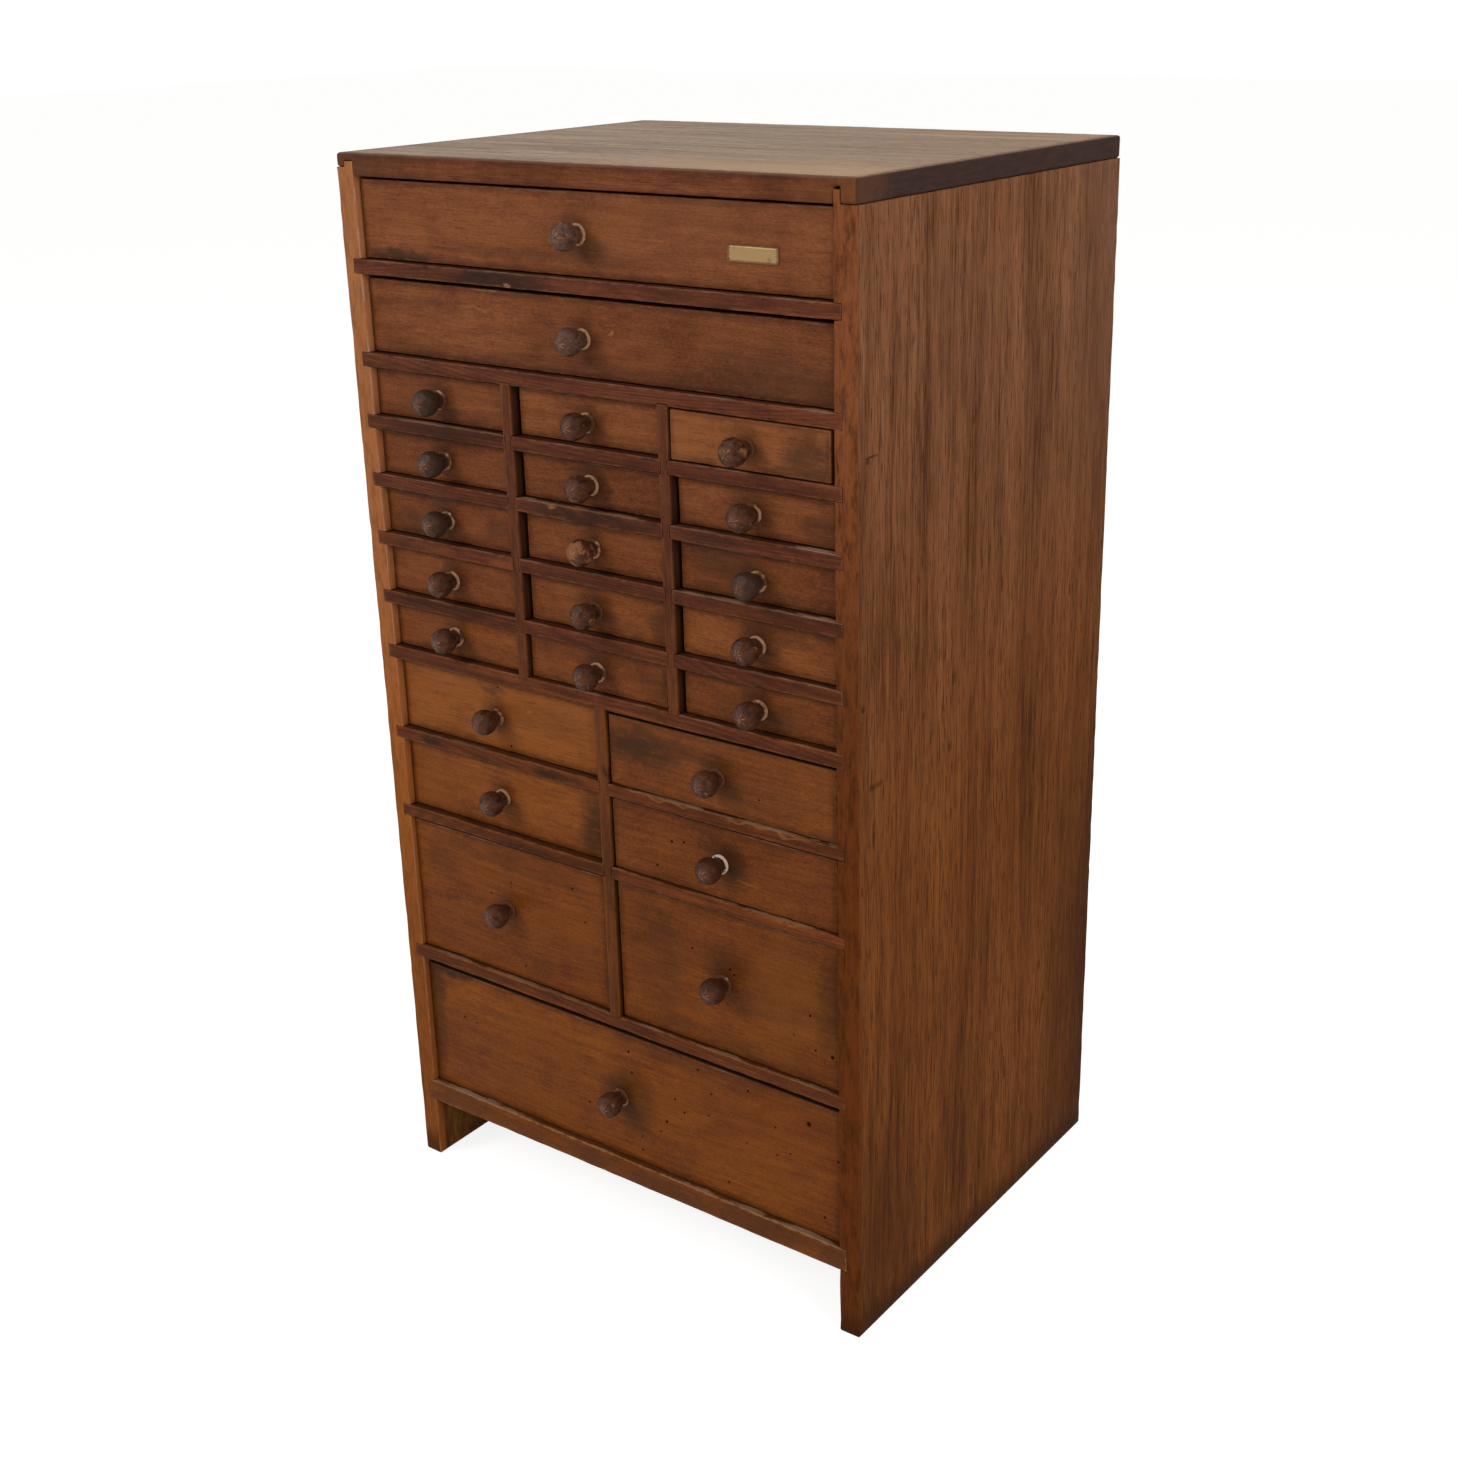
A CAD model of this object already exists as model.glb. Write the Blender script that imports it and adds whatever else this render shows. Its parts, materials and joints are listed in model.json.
import json
import math
import random

import bpy
from mathutils import Matrix, Vector

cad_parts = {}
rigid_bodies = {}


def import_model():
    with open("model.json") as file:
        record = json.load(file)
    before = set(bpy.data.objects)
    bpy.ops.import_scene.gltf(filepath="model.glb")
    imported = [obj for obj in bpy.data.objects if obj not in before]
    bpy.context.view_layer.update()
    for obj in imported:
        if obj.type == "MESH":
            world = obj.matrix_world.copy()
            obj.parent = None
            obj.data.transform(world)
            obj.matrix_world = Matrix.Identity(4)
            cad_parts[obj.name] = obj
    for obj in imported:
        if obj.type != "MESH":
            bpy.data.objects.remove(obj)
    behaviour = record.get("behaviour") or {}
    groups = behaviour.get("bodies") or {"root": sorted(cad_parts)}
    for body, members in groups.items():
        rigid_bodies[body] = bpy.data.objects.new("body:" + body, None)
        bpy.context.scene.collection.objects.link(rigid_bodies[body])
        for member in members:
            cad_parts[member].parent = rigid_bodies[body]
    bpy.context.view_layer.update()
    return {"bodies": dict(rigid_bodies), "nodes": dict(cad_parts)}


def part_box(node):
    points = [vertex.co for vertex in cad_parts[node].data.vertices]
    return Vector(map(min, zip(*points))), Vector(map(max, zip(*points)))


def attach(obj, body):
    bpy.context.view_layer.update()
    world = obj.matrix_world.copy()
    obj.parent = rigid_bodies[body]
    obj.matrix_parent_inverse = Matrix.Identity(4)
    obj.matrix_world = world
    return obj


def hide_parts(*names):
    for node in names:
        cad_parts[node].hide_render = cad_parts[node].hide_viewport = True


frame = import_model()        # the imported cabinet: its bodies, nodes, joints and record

# An old wooden cabinet of drawers. Metres, X to the right along the front, Z up.
mm = 0.001
hair = 0.1 * mm
drawerNames = sorted(body for body in frame["bodies"] if body != "case")
caseLeft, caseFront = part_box("side_left")[0].xy
random.seed(24)


# Modelling helpers.
def pick(*chosen):
    bpy.ops.object.select_all(action="DESELECT")
    for piece in chosen:
        piece.select_set(True)
    if chosen:
        bpy.context.view_layer.objects.active = chosen[0]


def editing(on):
    bpy.ops.object.mode_set(mode="EDIT" if on else "OBJECT")


def placed(name=None):
    # The active object, with its place, turn and size taken into its mesh.
    bpy.ops.object.transform_apply(location=True, rotation=True, scale=True)
    piece = bpy.context.object
    piece.name = name or piece.name
    return piece


def addBlock(name, low, high):
    pick()
    low, high = Vector(low), Vector(high)
    bpy.ops.mesh.primitive_cube_add(size=1, location=(low + high) / 2, scale=high - low)
    return placed(name)


def copyOf(original, name):
    copy = original.copy()
    copy.data = original.data.copy()
    bpy.context.scene.collection.objects.link(copy)
    copy.name = name
    return copy


def useModifier(piece, kind, settings):
    pick(piece)
    modifier = piece.modifiers.new(kind.lower(), kind)
    for key, value in settings.items():
        setattr(modifier, key, value)
    bpy.ops.object.modifier_apply(modifier=modifier.name)


def softenEdges(piece, width, segments=2):
    useModifier(piece, "BEVEL", {
        "width": width,
        "segments": segments,
        "limit_method": "ANGLE",
        "angle_limit": math.radians(30),
        "use_clamp_overlap": True,
    })


def cutOut(piece, tool):
    useModifier(piece, "BOOLEAN", {"object": tool, "operation": "DIFFERENCE", "solver": "EXACT"})
    bpy.data.objects.remove(tool)


def join(name, members):
    pick(*members)
    if len(members) > 1:
        bpy.ops.object.join()
    whole = bpy.context.view_layer.objects.active
    whole.name = name
    return whole


def corners(piece):
    places = [vertex.co for vertex in piece.data.vertices]
    low = Vector(min(place[axis] for place in places) for axis in range(3))
    high = Vector(max(place[axis] for place in places) for axis in range(3))
    return low, high


def cutAcross(piece, axis, positions):
    normal = [0, 0, 0]
    normal[axis] = 1
    pick(piece)
    editing(True)
    for position in positions:
        place = [0, 0, 0]
        place[axis] = position
        bpy.ops.mesh.select_all(action="SELECT")
        bpy.ops.mesh.bisect(plane_co=place, plane_no=normal)
    editing(False)


def selectParts(parts, test):
    for part in parts:
        part.select = test(part)


# Wear: a board is cut across its length, then its long arrises are rubbed down a little.
rub = {"step": 9 * mm, "reach": 2.5 * mm, "grain": 11 * mm, "depth": 2, "level": 0.72, "contrast": 2.4}
rubTexture = bpy.data.textures.new("rub", "CLOUDS")
rubTexture.noise_scale = rub["grain"]
rubTexture.noise_depth = rub["depth"]
rubTexture.intensity = rub["level"]
rubTexture.contrast = rub["contrast"]
rubTexture.use_clamp = True


def arrisDistance(place, low, high):
    # How near a point of a board's surface is to the board's closest arris.
    near = sorted(min(abs(place[axis] - low[axis]), abs(high[axis] - place[axis])) for axis in range(3))
    return near[1]


def rubArrises(piece, depth):
    low, high = corners(piece)
    size = high - low
    axis = max(range(3), key=lambda each: size[each])
    positions = []
    position = low[axis] + rub["step"]
    while position < high[axis] - rub["step"] / 2:
        positions.append(position)
        position += rub["step"] * random.uniform(0.6, 1.4)
    cutAcross(piece, axis, positions)
    inset = 1.2 * rub["reach"]
    for other in range(3):
        if other != axis and size[other] > 2.5 * inset:
            cutAcross(piece, other, (low[other] + inset, high[other] - inset))
    group = piece.vertex_groups.new(name="arris")
    for vertex in piece.data.vertices:
        share = 1 - arrisDistance(vertex.co, low, high) / rub["reach"]
        if share > 0:
            group.add([vertex.index], share, "REPLACE")
    useModifier(piece, "DISPLACE", {
        "texture": rubTexture,
        "texture_coords": "GLOBAL",
        "vertex_group": "arris",
        "mid_level": 0,
        "strength": -depth,
    })
    piece.vertex_groups.clear()


# What the materials know of a board: where it lies between its faces, a place of its own in
# the grain, how light it is, and where its knob is, which on most boards is far away.
noKnob = Vector((0, 0, 9))


def layVector(piece, name, values):
    attribute = piece.data.attributes.new(name, "FLOAT_VECTOR", "POINT")
    attribute.data.foreach_set("vector", [number for value in values for number in value])


def markBoard(piece, tone, knob=noKnob, box=None):
    low, high = box or corners(piece)
    places = [vertex.co for vertex in piece.data.vertices]
    count = len(places)
    offset = Vector(random.uniform(-5, 5) for axis in range(3))
    layVector(piece, "fromLow", [place - low for place in places])
    layVector(piece, "fromHigh", [high - place for place in places])
    layVector(piece, "ownGrain", [offset] * count)
    layVector(piece, "toneMark", [Vector((tone, tone, tone))] * count)
    layVector(piece, "fromKnob", [place - knob for place in places])


def settle(piece, body, paint, nodes=(), smooth=35):
    # A finished piece: its material, its body and what it stands for.
    piece.data.materials.clear()
    piece.data.materials.append(paint)
    pick(piece)
    bpy.ops.object.shade_smooth_by_angle(angle=math.radians(smooth))
    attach(piece, body)
    if nodes:
        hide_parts(*nodes)


# Materials: values of a shader, written as sums.
class Wire:
    # One output of a node.
    def __init__(self, coat, socket):
        self.coat = coat
        self.socket = socket

    def __add__(self, other):
        return self.coat.maths("ADD", self, other)

    def __sub__(self, other):
        return self.coat.maths("SUBTRACT", self, other)

    def __rsub__(self, other):
        return self.coat.maths("SUBTRACT", other, self)

    def __mul__(self, other):
        return self.coat.maths("MULTIPLY", self, other)

    def __truediv__(self, other):
        return self.coat.maths("DIVIDE", self, other)

    __radd__ = __add__
    __rmul__ = __mul__

    def mask(self, start, end, most=1.0):
        # Rises smoothly from 0 at start to most at end, which may be the smaller.
        values = {"Value": self, "From Min": start, "From Max": end, "To Min": 0.0, "To Max": most}
        return self.coat.add("ShaderNodeMapRange", {"interpolation_type": "SMOOTHSTEP"}, values)

    def near(self, start, end, most=1.0):
        # The same for a distance, with start and end in millimetres.
        return self.mask(start * mm, end * mm, most)

    def sway(self, reach):
        # A noise's value turned into a distance either way, in millimetres.
        return (self - 0.5) * reach * mm


class Coat:
    # The nodes of a material or of the sky, and the colour that its layers have reached.
    def __init__(self, owner):
        owner.use_nodes = True
        self.owner = owner
        self.tree = owner.node_tree
        self.tree.nodes.clear()
        self.colour = None

    def add(self, kind, settings=None, values=None, out=0):
        made = self.tree.nodes.new(kind)
        for key, setting in (settings or {}).items():
            if key == "stops":
                self.setStops(made.color_ramp, setting)
            else:
                setattr(made, key, setting)
        for key, value in (values or {}).items():
            if isinstance(value, Wire):
                self.tree.links.new(value.socket, made.inputs[key])
            else:
                made.inputs[key].default_value = value
        return Wire(self, made.outputs[out])

    def setStops(self, ramp, stops):
        for index, (position, colour) in enumerate(stops):
            stop = ramp.elements[index] if index < 2 else ramp.elements.new(position)
            stop.position = position
            stop.color = (*colour, 1)

    def maths(self, operation, *values):
        return self.add("ShaderNodeMath", {"operation": operation}, dict(enumerate(values)))

    def vector(self, operation, first, second=(0, 0, 0), out=0, scale=1.0):
        values = {0: first, 1: second, 3: scale}
        return self.add("ShaderNodeVectorMath", {"operation": operation}, values, out)

    def mark(self, name, out="Vector"):
        return self.add("ShaderNodeAttribute", {"attribute_name": name}, out=out)

    def parts(self, vector):
        split = self.tree.nodes.new("ShaderNodeSeparateXYZ")
        self.tree.links.new(vector.socket, split.inputs[0])
        return [Wire(self, output) for output in split.outputs]

    def markParts(self, name):
        return self.parts(self.mark(name))

    def noise(self, place, scale, detail=2.0, roughness=0.5, out=0):
        values = {"Vector": place, "Scale": scale, "Detail": detail, "Roughness": roughness}
        return self.add("ShaderNodeTexNoise", None, values, out)

    def drawn(self, stretch, *size, out=0, way=None):
        # Noise drawn out along the grain, or the way x, y or z.
        factors = [stretch if axis == (way or self.grain) else 1 for axis in "xyz"]
        return self.noise(self.vector("MULTIPLY", self.own, factors), *size, out=out)

    def stirred(self, place, noise, reach):
        # The place shifted each way by a noise's colour; the reach is in millimetres.
        shift = self.vector("SUBTRACT", noise, (0.5, 0.5, 0.5))
        return self.vector("ADD", place, self.vector("SCALE", shift, scale=reach * mm))

    def mix(self, share, first, second, way="MIX"):
        values = {0: share}
        for key, colour in ((6, first), (7, second)):
            values[key] = colour if isinstance(colour, Wire) else (*colour, 1)
        return self.add("ShaderNodeMix", {"data_type": "RGBA", "blend_type": way}, values, 2)

    def lay(self, share, colour, way="MIX"):
        self.colour = self.mix(share, self.colour, colour, way)

    def show(self, shader, kind="Material"):
        output = self.tree.nodes.new("ShaderNodeOutput" + kind)
        self.tree.links.new(shader.socket, output.inputs["Surface"])
        return self.owner

    def finish(self, roughness, height, depth, shine=0.5, metal=0.0):
        bump = {"Strength": 1.0, "Distance": depth, "Height": height}
        values = {
            "Base Color": self.colour,
            "Roughness": roughness,
            "Metallic": metal,
            "Specular IOR Level": shine,
            "Normal": self.add("ShaderNodeBump", None, bump),
        }
        return self.show(self.add("ShaderNodeBsdfPrincipled", None, values))


def newCoat(name, grain=None, ownGrain=True):
    # Every board has its own place in the grain.
    coat = Coat(bpy.data.materials.new(name))
    coat.grain = grain
    coat.place = coat.add("ShaderNodeTexCoord", out="Object")
    coat.own = coat.vector("ADD", coat.place, coat.mark("ownGrain")) if ownGrain else coat.place
    return coat


def nearestArris(coat):
    # How far a point of a board's surface is from the board's closest arris.
    nearest = coat.vector("MINIMUM", coat.mark("fromLow"), coat.mark("fromHigh"))
    x, y, z = coat.parts(coat.vector("ABSOLUTE", nearest))
    lower = coat.maths("MINIMUM", x, y)
    upper = coat.maths("MAXIMUM", x, y)
    return coat.maths("MAXIMUM", lower, coat.maths("MINIMUM", upper, z))


def oval(coat, across, up, spot, left=caseLeft, rim=(1.7, 0.0)):
    # A soft-edged oval: its middle from the left and the floor and its half width and half
    # height, in millimetres, and how strong it is.
    x, z, halfWidth, halfHeight, most = spot
    right = (across - (left + x * mm)) / (halfWidth * mm)
    rise = (up - z * mm) / (halfHeight * mm)
    return (right * right + rise * rise).mask(*rim, most)


def anySpot(coat, point, spots):
    total = None
    for spot in spots:
        mask = oval(coat, point[0], point[2], spot)
        total = mask if total is None else coat.maths("MAXIMUM", total, mask)
    return total


# The patterns that make a wood's tones, each with the detail and roughness of its noise.
woodPatterns = [
    ("drift", 4.0, 0.55), ("streak", 4.0, 0.6), ("blotch", 6.0, 0.68),
    ("dash", 3.0, 0.62), ("fleck", 2.0, 0.6),
]


def woodPaint(name, changes):
    # Every wood here: drawn-out tones, growth rings, fibres and pores, then dirt, stains and
    # rubbed arrises on top.
    look = {**plainWood, **changes}
    coat = newCoat(name, look["grain"])
    tone = coat.mark("toneMark", "Fac")
    coat.own = coat.stirred(coat.own, coat.drawn(0.4, 9.0, 2.0, out="Color"), look["waver"])

    figure = coat.drawn(0.12, look["rings"], 1.5, 0.45)
    lightness = 0.5 + tone + coat.maths("SINE", figure * look["ringCount"]) * look["ringShare"]
    patterns = []
    for kind, *size in woodPatterns:
        pattern = coat.drawn(look[kind + "Long"], look[kind + "Scale"], *size)
        lightness = lightness + (pattern - 0.5) * look[kind + "Share"]
        patterns.append(pattern)
    drift, streaks, patches = patterns[:3]
    fibre = coat.drawn(0.03, 900.0, 3.0, 0.6)
    pores = coat.drawn(0.05, 1300.0, 2.0)
    stops = [(0.12, look["dark"]), (0.5, look["middle"]), (0.88, look["light"])]
    coat.colour = coat.add("ShaderNodeValToRGB", {"stops": stops}, {"Fac": lightness})
    coat.lay(fibre.mask(0.52, 0.72, look["fibreShare"]), look["dark"])
    poreMask = (pores + (drift - 0.5) * 0.25).mask(0.58, 0.7, look["poreShare"])
    coat.lay(poreMask, look["pore"])

    # Dirt gathers in soft patches, towards the arrises and round the knob.
    dirt = patches.mask(0.52, 0.72, look["dirtShare"])
    arris = nearestArris(coat)
    if look["rimShare"]:
        ragged = coat.noise(coat.own, 90.0, 3.0)
        rim = (arris - ragged * 8 * mm).near(1.5, -3, look["rimShare"])
        dirt = coat.maths("MAXIMUM", dirt, rim)
    if look["knobShare"]:
        fromKnob = coat.vector("LENGTH", coat.mark("fromKnob"), out="Value")
        halo = (fromKnob + patches.sway(30)).near(21, 6, look["knobShare"])
        dirt = coat.maths("MAXIMUM", dirt, halo)
    if look["stains"]:
        shaken = coat.drawn(0.3, 260.0, 5.0, 0.62)
        point = coat.parts(coat.stirred(coat.place, coat.noise(coat.own, 60.0, 4.0, 0.6, "Color"), 16))
        coat.lay(anySpot(coat, point, look["stains"]) * shaken.mask(0.12, 0.55), look["stain"])
    coat.lay(dirt, look["dirt"])
    if look["bleached"]:
        coat.lay(anySpot(coat, point, look["bleached"]), look["bare"])

    # Handling rubs the arrises down to lighter wood.
    chafe = coat.noise(coat.own, 140.0, 3.0, 0.65)
    coat.lay((arris - chafe.sway(5)).near(1.3, 0.1, look["wearShare"]), look["bare"])

    if look["faces"]:
        look["faces"](coat)
    if look["richer"]:
        # Low down the wood is less dusty, so darker and deeper in colour.
        low = coat.parts(coat.place)[2].mask(*look["richerFrom"])
        coat.lay(low, look["richer"], "MULTIPLY")
    if look["over"]:
        look["over"](coat)

    roughness = look["roughness"] + (patches - 0.5) * 0.2 + poreMask * 0.15 + (fibre - 0.5) * 0.12
    dents = coat.noise(coat.own, 60.0, 3.0, 0.5)
    height = fibre * look["relief"] + streaks * 0.8 - poreMask * 1.2 + dents * 0.7
    return coat.finish(roughness, height, 0.28 * mm, look["shine"])


# Stains and pale spots on the front: middle from the case's left face and from the floor, half
# width and half height in millimetres, and how strong.
frontStains = [
    (46, 687, 30, 5, 0.9), (205, 700, 24, 7, 0.55), (150, 694, 90, 4, 0.4), (200, 624, 190, 9, 0.35),
    (345, 632, 55, 20, 0.5), (60, 656, 50, 5, 0.35), (370, 590, 22, 17, 0.75), (352, 582, 18, 5, 0.6),
    (374, 552, 14, 9, 0.55), (187, 318, 11, 24, 0.9), (232, 387, 34, 13, 0.95), (307, 322, 12, 13, 0.8),
    (100, 400, 12, 3, 0.5), (36, 167, 27, 7, 1.0), (22, 152, 9, 22, 0.8), (211, 117, 20, 26, 0.55),
    (20, 120, 8, 55, 0.6), (378, 240, 9, 40, 0.45), (376, 490, 10, 12, 0.55), (62, 572, 30, 6, 0.45),
    (60, 508, 20, 9, 0.5), (340, 480, 30, 6, 0.45), (120, 270, 60, 5, 0.35), (300, 190, 80, 6, 0.3),
    (270, 160, 90, 7, 0.3), (300, 252, 24, 12, 0.35), (255, 391, 50, 8, 0.6), (330, 372, 40, 12, 0.3),
    (60, 529, 30, 4, 0.5), (37, 507, 16, 12, 0.55), (115, 515, 14, 5, 0.4), (96, 583, 22, 8, 0.35),
    (250, 430, 20, 9, 0.4), (300, 520, 30, 10, 0.5), (325, 471, 22, 8, 0.3), (250, 470, 10, 12, 0.6),
    (200, 466, 45, 6, 0.3), (330, 428, 34, 11, 0.45), (40, 262, 18, 18, 0.3), (330, 225, 36, 9, 0.25),
    (238, 235, 22, 46, 0.28), (150, 385, 40, 12, 0.25),
]
frontBleached = [
    (134, 390, 3, 1.4, 0.8), (127, 671, 5, 0.9, 0.85), (112, 657, 16, 0.8, 0.4), (222, 652, 2.5, 0.7, 0.8),
    (316, 311, 9, 1.2, 0.45), (330, 196, 30, 10, 0.12), (345, 240, 28, 42, 0.22),
    (290, 718, 110, 30, 0.12), (330, 348, 34, 1.3, 0.5), (60, 405, 30, 8, 0.12),
]
shelfStains = [
    (132, 678, 42, 7, 0.95), (199, 535, 58, 5, 0.8), (75, 576, 40, 5, 0.55), (42, 350, 9, 5, 0.85),
    (156, 349, 16, 5, 0.9), (300, 535, 30, 4, 0.5), (190, 430, 12, 8, 0.6), (205, 300, 6, 40, 0.45),
    (205, 363, 5, 7, 0.9), (80, 500, 40, 4, 0.4),
]
shelfBleached = [
    (145, 676, 2.5, 1.2, 0.95), (170, 538, 3.5, 1.4, 0.85), (375, 683, 10, 0.9, 0.6),
    (375, 622, 8, 0.9, 0.6), (250, 355, 36, 0.9, 0.6), (335, 354, 36, 0.9, 0.7), (350, 294, 34, 0.9, 0.5),
]
plinthStains = [
    (40, 58, 30, 9, 0.4), (172, 57, 26, 7, 0.6), (236, 54, 44, 8, 0.65), (322, 58, 40, 10, 0.55),
    (382, 58, 14, 10, 0.6), (110, 53, 40, 5, 0.35),
]
# Dust lies on the ledges of the shelves and the bottom board, most of it in these places.
dustSpots = [
    (165, 540, 32, 6, 1.0), (220, 540, 30, 6, 0.6), (372, 540, 18, 6, 1.0), (290, 540, 26, 6, 0.5),
    (300, 499, 42, 6, 0.8), (365, 499, 28, 6, 1.0), (378, 356, 12, 6, 0.9), (300, 356, 60, 6, 0.8),
    (330, 295, 50, 6, 0.5), (330, 182, 50, 6, 0.6), (60, 66, 50, 6, 0.9), (260, 66, 25, 6, 0.7),
    (340, 66, 45, 6, 0.8), (378, 683, 9, 6, 0.6), (375, 622, 12, 6, 0.7), (70, 580, 40, 6, 0.5),
    (110, 182, 90, 6, 0.45), (110, 356, 60, 6, 0.3),
]
dustColour = (0.240, 0.148, 0.090)
grime = (0.022, 0.0095, 0.005)

# Sides: the front edges are more orange, the inner faces raw, the back corner low down dark.
sideLook = {
    "leftEdge": (0.375, 0.142, 0.053),
    "leftEdgeMid": (0.420, 0.170, 0.080),
    "leftEdgeLow": (0.290, 0.112, 0.052),
    "rightEdge": (0.221, 0.065, 0.0217),
    "rightEdgeLow": (0.144, 0.045, 0.0150),
    "rubbed": (0.430, 0.290, 0.240),
    "edgeDirt": (0.062, 0.020, 0.008),
    "foot": (0.040, 0.018, 0.009),
    "inside": (0.270, 0.150, 0.070),
    "insideDark": (0.130, 0.062, 0.026),
    "grey": (0.160, 0.078, 0.045),
    "dark": (0.045, 0.015, 0.006),
    # Marks on the right side: y and z of the middle, half sizes in millimetres, strength.
    "marks": [
        (-133, 596, 7, 0.8, 0.8), (-137, 594, 2.5, 2.2, 0.7), (-16, 601, 1.2, 6, 0.8),
        (-18, 596, 3, 3, 0.45), (-41, 721, 1.3, 11, 0.6), (-142, 446, 2.2, 2.5, 0.8),
        (-128, 393, 9, 2.2, 0.5), (17, 525, 7, 60, 0.28), (-55, 655, 9, 40, 0.2),
        (-10, 300, 6, 90, 0.22), (-118, 55, 42, 85, 0.4),
    ],
}


def sideFaces(coat):
    fromLow = coat.markParts("fromLow")
    fromHigh = coat.markParts("fromHigh")
    across, deep, up = coat.parts(coat.place)
    cloud = coat.noise(coat.own, 6.0, 3.0)
    leftward = across.mask(0.1, -0.1)
    rightFace = across.mask(0.19, 0.2)
    lower = up.mask(0.62, 0.42)
    lowest = up.mask(0.42, 0.1)

    grey = (fromHigh[1] + cloud * 120 * mm).near(170, 50, 0.5) * up.mask(0.45, 0.7)
    coat.lay(grey, sideLook["grey"])
    rear = (fromHigh[1] + cloud * 90 * mm).near(140, 25, 0.85) * up.mask(0.5, 0.1)
    coat.lay(rear, sideLook["dark"])
    for mark in sideLook["marks"]:
        coat.lay(oval(coat, deep, up, mark, 0, (1.6, 0.1)) * rightFace, sideLook["dark"])

    blotch = coat.drawn(0.3, 170.0, 6.0, 0.72)
    leftEdge = coat.mix(lower, sideLook["leftEdge"], sideLook["leftEdgeMid"])
    leftEdge = coat.mix(lowest, leftEdge, sideLook["leftEdgeLow"])
    rightEdge = coat.mix(lower, sideLook["rightEdge"], sideLook["rightEdgeLow"])
    edge = coat.mix(leftward, rightEdge, leftEdge)
    dirty = blotch.mask(0.43, 0.64, 0.85) * (1 - leftward * 0.6)
    edge = coat.mix(dirty, edge, sideLook["edgeDirt"])
    coat.lay(fromLow[1].near(1.2, 0.6, 0.85), edge)
    coat.lay((up + blotch.sway(30)).near(26, 6, 0.7), sideLook["foot"])

    fromInside = coat.add("ShaderNodeMix", None, {0: leftward, 2: fromLow[0], 3: fromHigh[0]})
    raw = coat.mix(blotch.mask(0.35, 0.65), sideLook["inside"], sideLook["insideDark"])
    onInside = fromInside.near(0.9, 0.4)
    coat.lay(onInside * fromLow[1].near(8, 5) * leftward, leftEdge)
    coat.lay(onInside * fromLow[1].near(8, 14), raw)
    corner = onInside * fromLow[1].near(1.3, 0.7)
    coat.lay(corner * leftward * blotch.mask(0.42, 0.58, 0.6), sideLook["rubbed"])


# The top is dry and grey above, reddish in front and nearly black on its end grain.
topLook = {
    "greys": [(0.28, (0.140, 0.096, 0.067)), (0.5, (0.275, 0.198, 0.139)), (0.76, (0.400, 0.295, 0.206))],
    "brown": (0.250, 0.160, 0.096),
    "speck": (0.070, 0.042, 0.028),
    "rubbed": (0.400, 0.255, 0.150),
    "frontArris": (0.105, 0.045, 0.025),
    "frontLeft": (0.085, 0.040, 0.024),
    "frontRight": (0.255, 0.092, 0.033),
    "endDark": (0.020, 0.011, 0.0095),
    "endLight": (0.038, 0.020, 0.017),
    "endFront": (0.100, 0.038, 0.021),
}


def topFaces(coat):
    across = coat.parts(coat.place)[0]
    fromLow = coat.markParts("fromLow")
    fromHigh = coat.markParts("fromHigh")
    wander = coat.noise(coat.own, 90.0, 5.0, 0.65)
    ends = coat.maths("MINIMUM", fromLow[0], fromHigh[0])
    above = (fromHigh[2] - wander.sway(2)).near(1.7, 0.3)
    around = 1 - above
    underneath = coat.colour

    # The upper face.
    grain = coat.drawn(0.05, 150.0, 5.0, 0.66)
    coat.colour = coat.add("ShaderNodeValToRGB", {"stops": topLook["greys"]}, {"Fac": grain})
    coat.lay((across + (wander - 0.5) * 0.2).mask(-0.1, 0.22, 0.6), topLook["brown"])
    coat.lay(coat.drawn(0.25, 420.0, 5.0, 0.72).mask(0.5, 0.68, 0.7), topLook["speck"])
    cloud = coat.drawn(0.5, 14.0, 4.0, 0.6)
    rubbed = (fromLow[1] - cloud * 150 * mm).near(20, -50, 0.58)
    coat.lay(rubbed * (across + (wander - 0.5) * 0.1).mask(-0.06, 0.12), topLook["rubbed"])
    smoky = coat.drawn(0.08, 60.0, 5.0, 0.65)
    coat.lay(smoky.mask(0.5, 0.7, 0.28), topLook["speck"])
    paler = (across + (smoky - 0.5) * 0.25).mask(-0.02, 0.08) * fromHigh[1].near(62, 52)
    coat.lay(paler * grain.mask(0.35, 0.6, 0.45), topLook["rubbed"])
    arris = (fromLow[1] + wander.sway(11)).near(8, 2, 0.9)
    endBand = (ends + wander.sway(16)).near(9, 0.5, 0.8)
    coat.lay(coat.maths("MAXIMUM", arris, endBand), topLook["frontArris"])

    # The faces round it, and the end grain.
    coat.colour = coat.mix(above, underneath, coat.colour)
    coat.lay((fromHigh[2] + wander.sway(9)).near(5, 1, 0.3) * around, topLook["endDark"])
    sideways = across + (wander - 0.5) * 0.12
    coat.lay(sideways.mask(0.14, 0.2, 0.35) * around, topLook["frontRight"])
    coat.lay(sideways.mask(-0.13, -0.2, 0.5) * around, topLook["frontLeft"])
    rays = coat.drawn(0.15, 420.0, 4.0, 0.6, way="y")
    dark = coat.mix(rays.mask(0.25, 0.75), topLook["endDark"], topLook["endLight"])
    reddish = (fromLow[1] + wander.sway(60)).near(45, 5, 0.6)
    coat.lay(ends.near(1.4, 0.6, 0.95), coat.mix(reddish, dark, topLook["endFront"]))


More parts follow.
